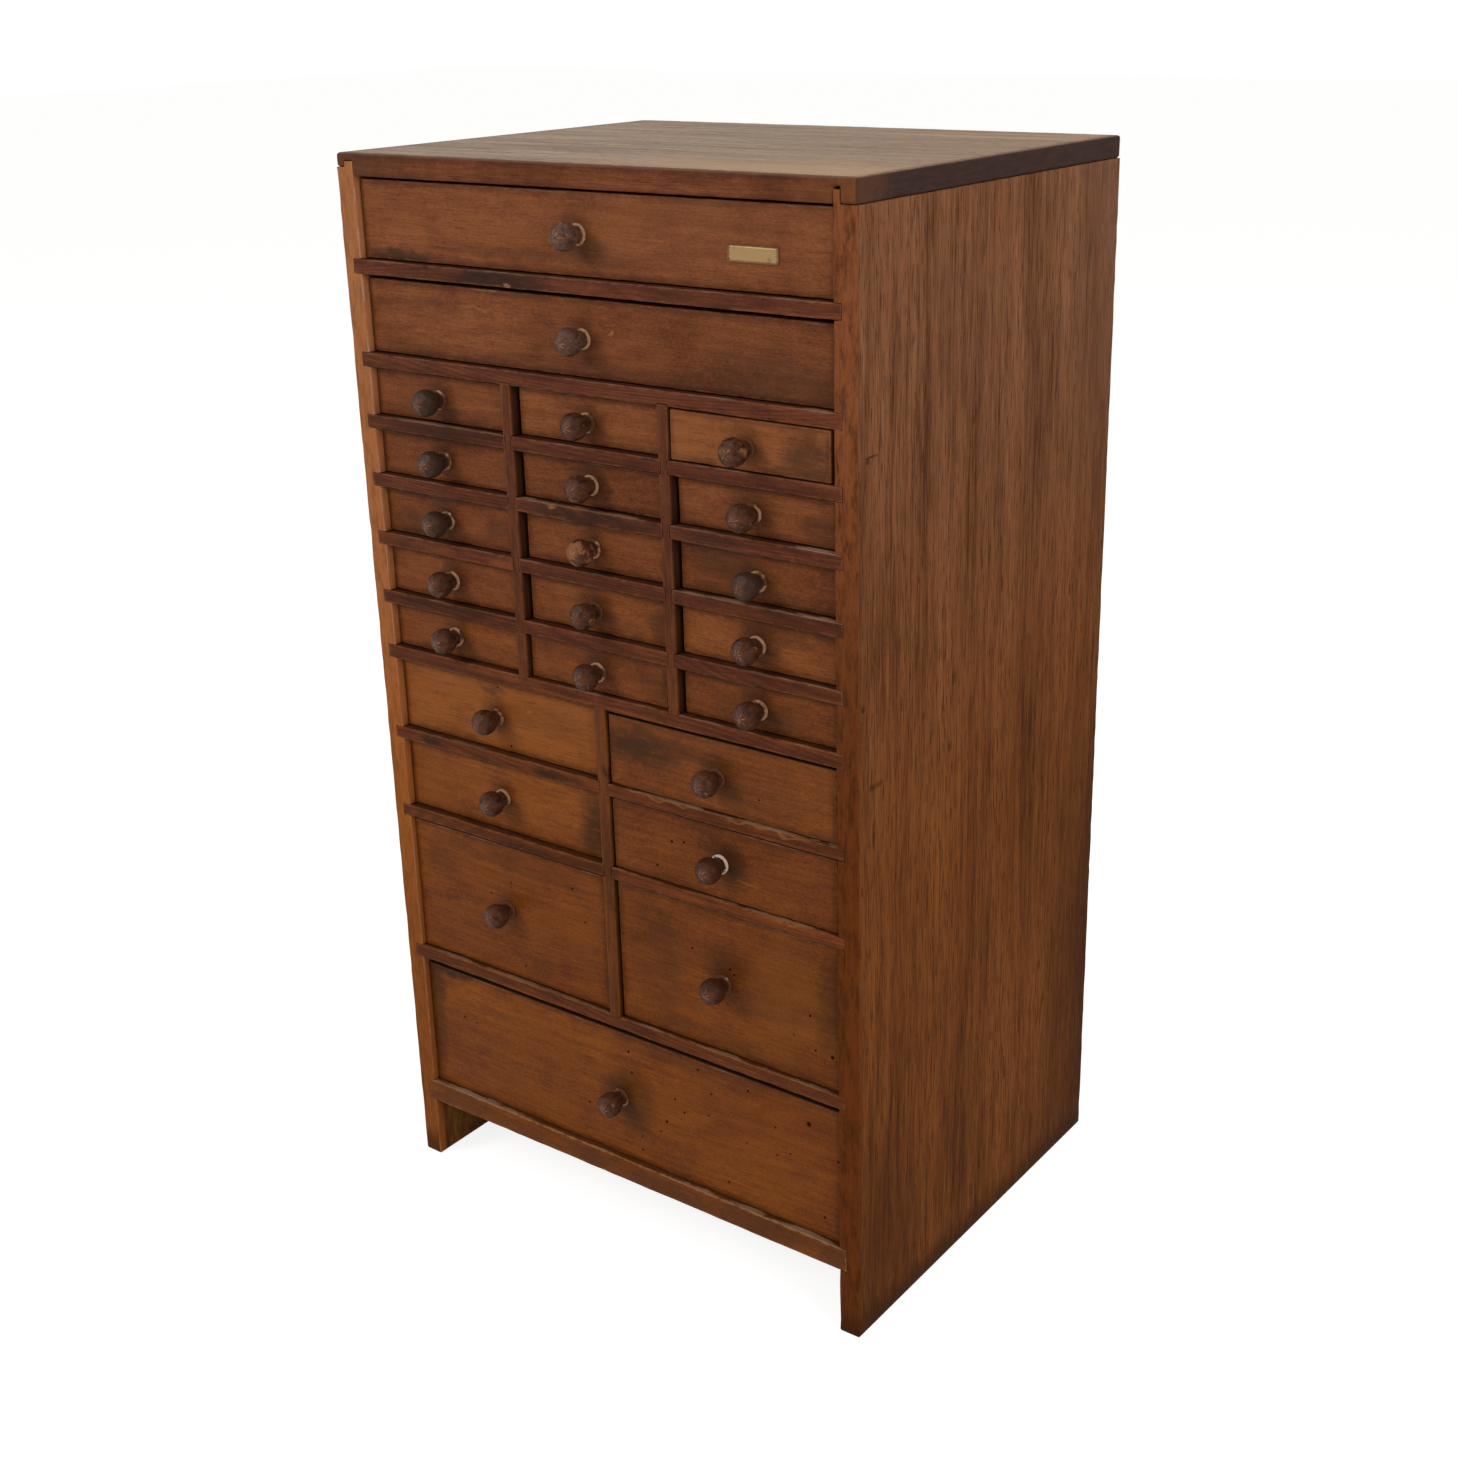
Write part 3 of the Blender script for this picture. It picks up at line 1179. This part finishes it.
knobPattern = makeKnobPattern()
collarPattern = makeCollarPattern()
for name in drawerNames:
    low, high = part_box(name + "_knob")
    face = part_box(name + "_box")[0].y
    place = Vector(((low.x + high.x) / 2, face, (low.z + high.z) / 2))
    knobTone, collarTone = tonesOf(name)[1:]
    turn = random.uniform(0, 2 * math.pi)
    knob = turnedCopy(knobPattern, name + "_turned_knob", place, turn)
    chance = random.uniform(-0.05, 0.03)
    markBoard(knob, chance if knobTone is None else knobTone, place)
    layVector(knob, "turned", [Vector((turn, turn, turn))] * len(knob.data.vertices))
    settle(knob, name, paints["knob"], [name + "_knob"], knobTurning["smooth"])
    collar = turnedCopy(collarPattern, name + "_collar", place, turn)
    chance = random.uniform(-0.08, 0.06)
    markBoard(collar, chance if collarTone is None else collarTone, place)
    settle(collar, name, paints["collar"])
for pattern in (knobPattern, collarPattern):
    bpy.data.objects.remove(pattern)
print("knobs turned")


# The plate is a thin sheet with a raised rim line and a pin at each end.
def makePlate():
    low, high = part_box("label_plate")
    plate = addBlock("label_plate_sheet", low, high)
    behind = [vertex.co.y > (low.y + high.y) / 2 for vertex in plate.data.vertices]
    selectParts(plate.data.edges, lambda edge: behind[edge.vertices[0]] != behind[edge.vertices[1]])
    selectParts(plate.data.polygons, lambda face: False)
    editing(True)
    bpy.ops.mesh.select_mode(type="EDGE")
    bpy.ops.mesh.bevel(offset=plateLook["corner"] * mm, segments=5)
    editing(False)
    selectParts(plate.data.polygons, lambda face: face.normal.y < -0.9)
    selectParts(plate.data.edges, lambda edge: False)
    selectParts(plate.data.vertices, lambda vertex: False)
    editing(True)
    bpy.ops.mesh.select_mode(type="FACE")
    bpy.ops.mesh.inset(thickness=plateLook["rim"] * mm)
    bpy.ops.mesh.inset(thickness=plateLook["slope"] * mm, depth=-plateLook["sink"] * mm)
    editing(False)
    softenEdges(plate, plateLook["soften"] * mm)
    members = [plate]
    inset = plateLook["pinInset"] * mm
    for x in (low.x + inset, high.x - inset):
        centre = (x, low.y + plateLook["pinDepth"] * mm, (low.z + high.z) / 2)
        pick()
        bpy.ops.mesh.primitive_uv_sphere_add(
            segments=16, ring_count=8, radius=plateLook["pinRadius"] * mm, location=centre
        )
        members.append(placed())
    whole = join("label_plate_sheet", members)
    markBoard(whole, 0, box=(low, high))
    settle(whole, "drawer_top_upper", paints["plate"], ["label_plate"])


makePlate()

# Floor, light and camera.
room = {
    "floorSize": 30.0,
    "floorColour": (0.86, 0.85, 0.83),
    "floorGlow": 0.6,
    "floorStrength": 1.42,
    "ambient": 0.4,
    "ambientColour": (1, 0.985, 0.96),
    "key": {"place": (-1.5, -2.3, 2.1), "aim": (0, -0.1, 0.4), "size": 1.3, "power": 42},
    "right": {"place": (2.4, -0.7, 1.5), "aim": (0.1, 0, 0.4), "size": 1.6, "power": 32},
    "above": {"place": (0.3, 0.6, 2.6), "aim": (0, 0, 0.5), "size": 1.8, "power": 16},
}


def seen(coat):
    # 1 where the eye sees it straight, mirrored or through glass.
    straight, mirrored, through = (
        coat.add("ShaderNodeLightPath", out=f"Is {way} Ray") for way in ("Camera", "Glossy", "Transmission")
    )
    return coat.maths("MAXIMUM", coat.maths("MAXIMUM", straight, mirrored), through)


def light(coat, kind, colour, strength):
    return coat.add(kind, None, {"Color": (*colour, 1), "Strength": strength})


def blend(coat, share, first, second):
    return coat.add("ShaderNodeMixShader", None, {0: share, 1: first, 2: second})


def floorPaint():
    # Where it is seen the floor is partly its own light, so that it stays white and keeps a
    # soft shadow.
    coat = Coat(bpy.data.materials.new("floor_white"))
    matt = coat.add("ShaderNodeBsdfDiffuse", None, {"Color": (*room["floorColour"], 1)})
    glow = light(coat, "ShaderNodeEmission", (1, 1, 1), room["floorStrength"])
    return coat.show(blend(coat, seen(coat) * room["floorGlow"], matt, glow))


pick()
bpy.ops.mesh.primitive_plane_add(size=room["floorSize"], location=(0, 0, 0))
floor = bpy.context.object
floor.name = "floor"
floor.data.materials.append(floorPaint())

for name in ("key", "right", "above"):
    lamp = room[name]
    direction = Vector(lamp["aim"]) - Vector(lamp["place"])
    turn = direction.to_track_quat("-Z", "Y").to_euler()
    bpy.ops.object.light_add(type="AREA", location=lamp["place"], rotation=turn)
    disk = bpy.context.object
    disk.name = name + "_lamp"
    disk.data.shape = "DISK"
    disk.data.size = lamp["size"]
    disk.data.energy = lamp["power"]

sky = Coat(bpy.data.worlds.new("studio"))
bpy.context.scene.world = sky.owner
soft = light(sky, "ShaderNodeBackground", room["ambientColour"], room["ambient"])
white = light(sky, "ShaderNodeBackground", (1, 1, 1), 1)
sky.show(blend(sky, seen(sky), soft, white), "World")

# The picture was taken from here: millimetres from the case's middle, its front and the floor.
photo = {
    "eye": (784.6, -888.2, 850.0),
    "aim": (137.6, 0.0, 441.2),
    "roll": -1.11,
    "lens": 47.95,
    "shift": (-0.0286, -0.0193),
}


def fromFrontMiddle(place):
    return Vector((place[0] * mm, caseFront + place[1] * mm, place[2] * mm))


eye = fromFrontMiddle(photo["eye"])
direction = fromFrontMiddle(photo["aim"]) - eye
turn = direction.to_track_quat("-Z", "Y").to_matrix() @ Matrix.Rotation(math.radians(photo["roll"]), 3, "Z")
bpy.ops.object.camera_add(location=eye, rotation=turn.to_euler())
camera = bpy.context.object
camera.data.lens = photo["lens"]
camera.data.sensor_width = 36
camera.data.sensor_fit = "HORIZONTAL"
camera.data.shift_x, camera.data.shift_y = photo["shift"]
bpy.context.scene.camera = camera
bpy.context.scene.view_settings.view_transform = "Standard"
print("floor, lamps and camera placed")
